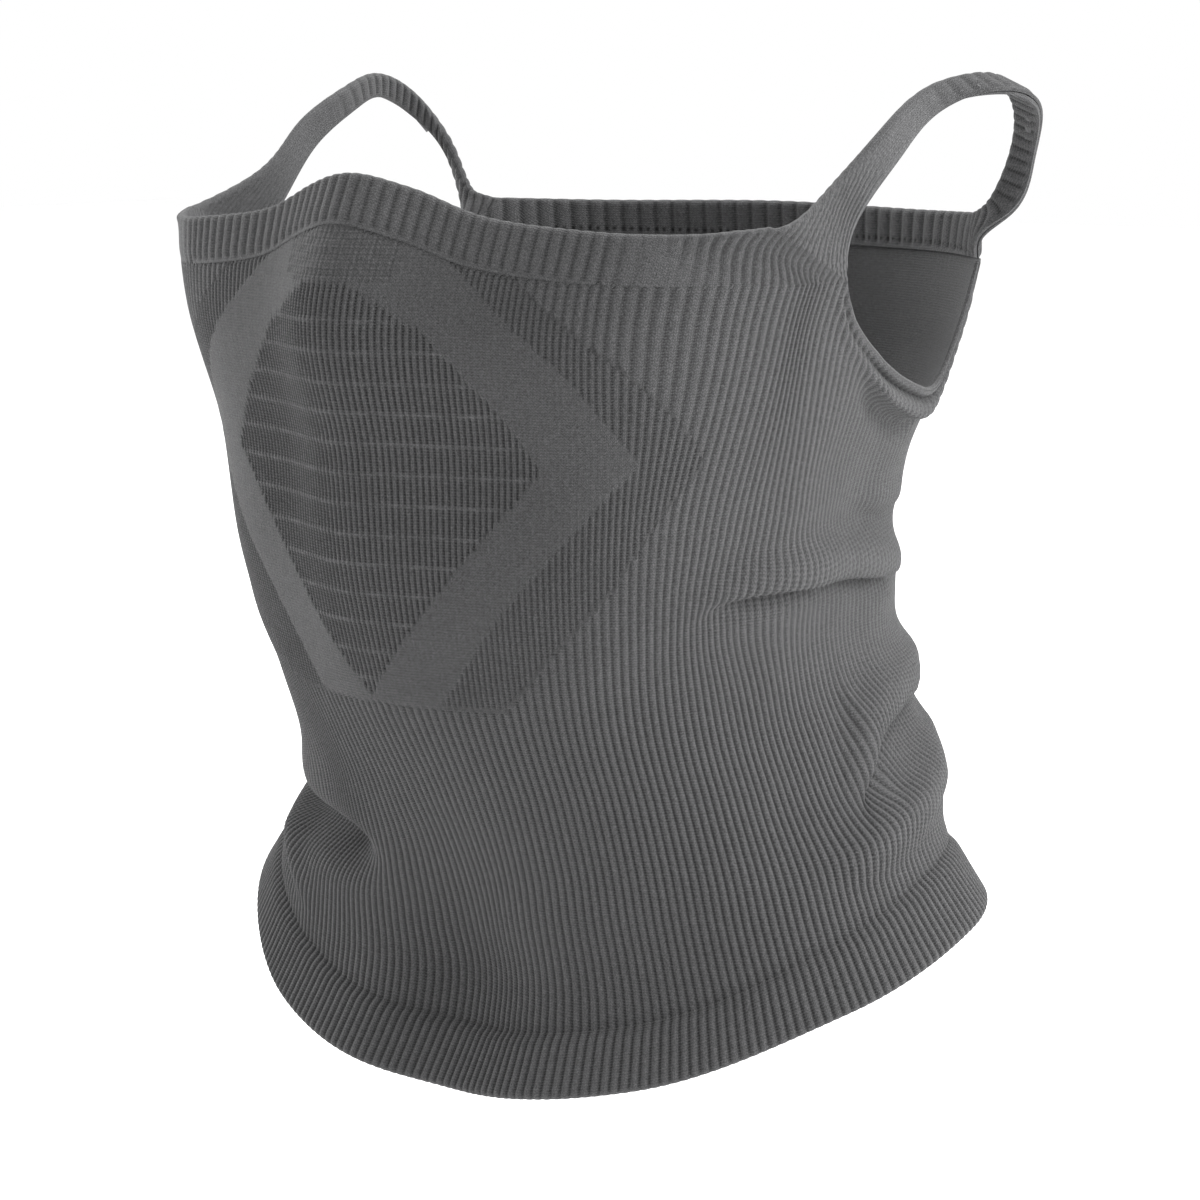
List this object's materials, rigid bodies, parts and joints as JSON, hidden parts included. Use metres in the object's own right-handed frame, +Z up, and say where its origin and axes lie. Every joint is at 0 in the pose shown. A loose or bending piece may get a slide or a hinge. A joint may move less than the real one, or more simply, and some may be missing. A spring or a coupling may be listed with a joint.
{
  "type": "neck gaiter",
  "caption": "Knitted neck and face gaiter with a shaped nose edge, an open-knit mouth panel and an ear loop on each side.",
  "frame": {"origin": "midway between the two ear openings, at the height of the wearer's ear canals", "axes": "+Z up through the wearer's head, -Y out of the face, +X to the wearer's left"},
  "size_m": [0.1706, 0.1559, 0.2039],
  "materials": {
    "rib knit": "rough",
    "mesh knit": "rough",
    "plain knit": "rough",
    "welt knit": "rough",
    "linking yarn": "rough",
    "elastic yarn": "rough"
  },
  "bodies": {
    "root": {"rib_front": "rib knit", "rib_side_left": "rib knit", "rib_side_right": "rib knit", "rib_nape": "rib knit", "mouth_mesh": "mesh knit", "mesh_frame": "plain knit", "nose_mesh_patch": "mesh knit", "fine_rib_left": "rib knit", "fine_rib_right": "rib knit", "nose_band": "welt knit", "nape_band": "welt knit", "bottom_band": "welt knit", "nose_band_stitching": "linking yarn", "nape_band_stitching": "linking yarn", "bottom_band_stitching": "linking yarn", "nose_band_elastic": "elastic yarn", "nape_band_elastic": "elastic yarn", "bottom_band_elastic": "elastic yarn", "ear_edge_left": "plain knit", "ear_edge_right": "plain knit"},
    "ear_loop_left": {"ear_loop_left": "welt knit", "ear_loop_elastic_left": "elastic yarn"},
    "ear_loop_right": {"ear_loop_right": "welt knit", "ear_loop_elastic_right": "elastic yarn"}
  },
  "joints": [
    {"name": "ear_loop_left_hinge", "type": "hinge", "parent": "root", "child": "ear_loop_left", "pos_m": [0.07, 0.00075, 0.006], "axis": [-0.1175, 0.9913, -0.0587], "range_deg": [-30, 25], "stiffness_Nm_per_rad": 0.02},
    {"name": "ear_loop_right_hinge", "type": "hinge", "parent": "root", "child": "ear_loop_right", "pos_m": [-0.07, 0.00075, 0.006], "axis": [-0.1175, -0.9913, 0.0587], "range_deg": [-30, 25], "stiffness_Nm_per_rad": 0.02}
  ]
}
